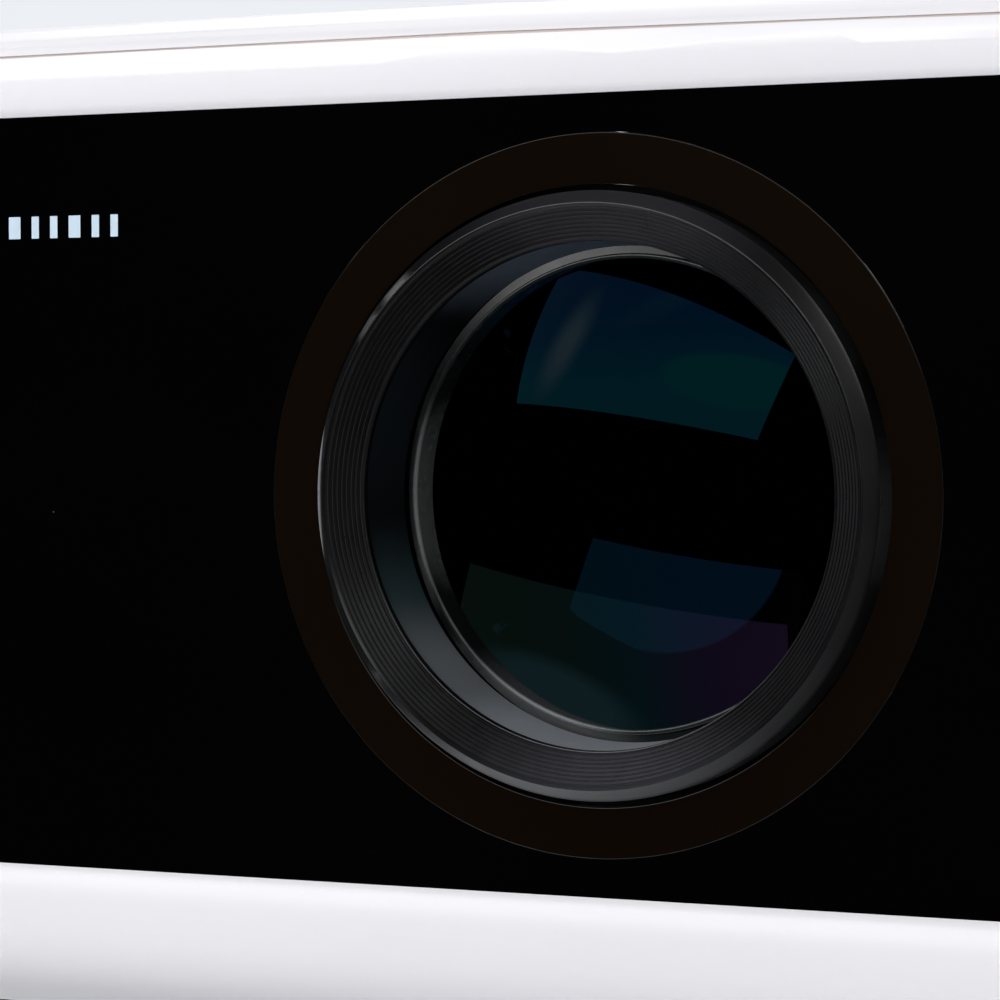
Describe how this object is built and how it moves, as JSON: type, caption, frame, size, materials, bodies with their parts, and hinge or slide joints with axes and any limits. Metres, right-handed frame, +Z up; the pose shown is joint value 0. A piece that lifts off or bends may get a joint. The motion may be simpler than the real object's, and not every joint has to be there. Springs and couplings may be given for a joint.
{
  "type": "home projector",
  "caption": "Boxy home video projector: rounded white casing, gloss black front, off-centre focusing lens in a ring, top keypad, side vents, rear sockets and an adjustable foot.",
  "frame": {"origin": "on the supporting surface, under the middle of the overall box", "axes": "+Z up, the lens looks along -Y, +X to the right of a person facing the lens"},
  "size_m": [0.3, 0.236, 0.1235],
  "materials": {
    "white_shell": "satin gloss white with a soft sheen",
    "seam_trim": "warm grey, matte",
    "black_gloss": "deep gloss black",
    "brown_gloss": "very dark brown, gloss",
    "lens_black": "fine-grained satin black",
    "coated_glass": "polished, anti-reflection coated",
    "clear_plate": "clear, fine concentric grooves on the field lenses",
    "mirror_coating": "first-surface mirror",
    "display_glass": "dark liquid-crystal panel in a metal frame",
    "steel": "plain bright steel",
    "brass": "knurled brass",
    "inner_plastic": "matt charcoal",
    "grey_plastic": "fine-grained mid grey",
    "key_plastic": "satin light grey",
    "cone_paper": "pressed fibre",
    "filter_foam": "open-cell foam",
    "circuit_board": "solder mask with parts",
    "heatsink": "extruded aluminium",
    "lead_sleeve": "smooth red insulation",
    "foot_rubber": "soft matt rubber"
  },
  "bodies": {
    "housing": {"top_cover": "white_shell", "bottom_case": "white_shell", "front_bezel": "white_shell", "trim_band": "seam_trim", "front_panel": "black_gloss", "ir_window": "black_gloss", "lens_surround": "brown_gloss", "lens_sleeve": "lens_black", "condenser_lens": "coated_glass", "fresnel_lenses": "clear_plate", "heat_glass": "clear_plate", "fold_mirror": "mirror_coating", "lcd_panel": "display_glass", "dial_axle": "steel", "screws": "steel", "data_sockets": "steel", "threaded_inserts": "brass", "engine_base": "inner_plastic", "engine_cover": "inner_plastic", "light_cone": "inner_plastic", "exhaust_fan_frame": "inner_plastic", "intake_fan_frame": "inner_plastic", "speaker_frames": "inner_plastic", "jack_sockets": "inner_plastic", "power_inlet": "inner_plastic", "rear_panel": "inner_plastic", "exhaust_grille": "grey_plastic", "control_inlay": "grey_plastic", "speaker_cones": "cone_paper", "main_board": "circuit_board", "power_board": "circuit_board", "key_board": "circuit_board", "led_heatsink": "heatsink", "led_module": "heatsink", "wire_leads": "lead_sleeve", "rear_feet": "foot_rubber"},
    "lens_barrel": {"lens_barrel": "lens_black", "front_ring": "lens_black", "glass_retainer": "lens_black", "front_lens": "coated_glass", "middle_lens": "coated_glass", "rear_lens": "coated_glass", "lens_spacers": "lens_black", "cam_pins": "steel"},
    "focus_ring": {"focus_ring": "lens_black"},
    "focus_dial": {"focus_dial": "grey_plastic"},
    "exhaust_rotor": {"exhaust_fan_rotor": "inner_plastic"},
    "intake_rotor": {"intake_fan_rotor": "inner_plastic"},
    "filter": {"filter_cover": "grey_plastic", "dust_filter": "filter_foam"},
    "foot_pad": {"front_foot_pad": "foot_rubber"},
    "foot_screw": {"front_foot_screw": "steel"},
    "power_button": {"power_button": "key_plastic"},
    "menu_button": {"menu_button": "key_plastic"},
    "ok_button": {"ok_button": "key_plastic"},
    "right_key": {"right_key": "key_plastic"},
    "up_key": {"up_key": "key_plastic"},
    "left_key": {"left_key": "key_plastic"},
    "down_key": {"down_key": "key_plastic"}
  },
  "joints": [
    {"name": "focus_turn", "type": "hinge", "parent": "housing", "child": "focus_ring", "pos_m": [0.054, -0.0849, 0.067], "axis": [0, 1, 0], "range_deg": [0, 60.01]},
    {"name": "focus_slide", "type": "slide", "parent": "housing", "child": "lens_barrel", "axis": [0, -1, 0], "range_m": [0, 0.01]},
    {"name": "dial_turn", "type": "hinge", "parent": "housing", "child": "focus_dial", "pos_m": [0.08994, -0.0699, 0.1073], "axis": [0, -1, 0], "range_deg": [0, 264.1]},
    {"name": "exhaust_spin", "type": "hinge", "parent": "housing", "child": "exhaust_rotor", "pos_m": [-0.134, 0.006, 0.063], "axis": [-1, 0, 0], "continuous": true},
    {"name": "intake_spin", "type": "hinge", "parent": "housing", "child": "intake_rotor", "pos_m": [0.134, 0.036, 0.059], "axis": [-1, 0, 0], "continuous": true},
    {"name": "filter_pull", "type": "slide", "parent": "housing", "child": "filter", "axis": [1, 0, 0], "range_m": [0, 0.022]},
    {"name": "foot_turn", "type": "hinge", "parent": "foot_pad", "child": "foot_screw", "pos_m": [0, -0.064, 0.004], "axis": [0, 0, 1], "range_deg": [0, 2881]},
    {"name": "foot_extend", "type": "slide", "parent": "housing", "child": "foot_pad", "axis": [0, 0, -1], "range_m": [0, 0.012]},
    {"name": "power_button_press", "type": "slide", "parent": "housing", "child": "power_button", "axis": [0, 0, -1], "range_m": [0, 0.0008], "stiffness_N_per_m": 900, "springref_m": -0.0006},
    {"name": "menu_button_press", "type": "slide", "parent": "housing", "child": "menu_button", "axis": [0, 0, -1], "range_m": [0, 0.0008], "stiffness_N_per_m": 900, "springref_m": -0.0006},
    {"name": "ok_button_press", "type": "slide", "parent": "housing", "child": "ok_button", "axis": [0, 0, -1], "range_m": [0, 0.0008], "stiffness_N_per_m": 900, "springref_m": -0.0006},
    {"name": "right_key_press", "type": "slide", "parent": "housing", "child": "right_key", "axis": [0, 0, -1], "range_m": [0, 0.0008], "stiffness_N_per_m": 900, "springref_m": -0.0006},
    {"name": "up_key_press", "type": "slide", "parent": "housing", "child": "up_key", "axis": [0, 0, -1], "range_m": [0, 0.0008], "stiffness_N_per_m": 900, "springref_m": -0.0006},
    {"name": "left_key_press", "type": "slide", "parent": "housing", "child": "left_key", "axis": [0, 0, -1], "range_m": [0, 0.0008], "stiffness_N_per_m": 900, "springref_m": -0.0006},
    {"name": "down_key_press", "type": "slide", "parent": "housing", "child": "down_key", "axis": [0, 0, -1], "range_m": [0, 0.0008], "stiffness_N_per_m": 900, "springref_m": -0.0006}
  ],
  "couplings": [
    {"joint": "focus_turn", "follows": "focus_slide", "rad_per_m": 104.72},
    {"joint": "dial_turn", "follows": "focus_slide", "rad_per_m": 460.77},
    {"joint": "foot_turn", "follows": "foot_extend", "rad_per_m": 4188.8}
  ]
}
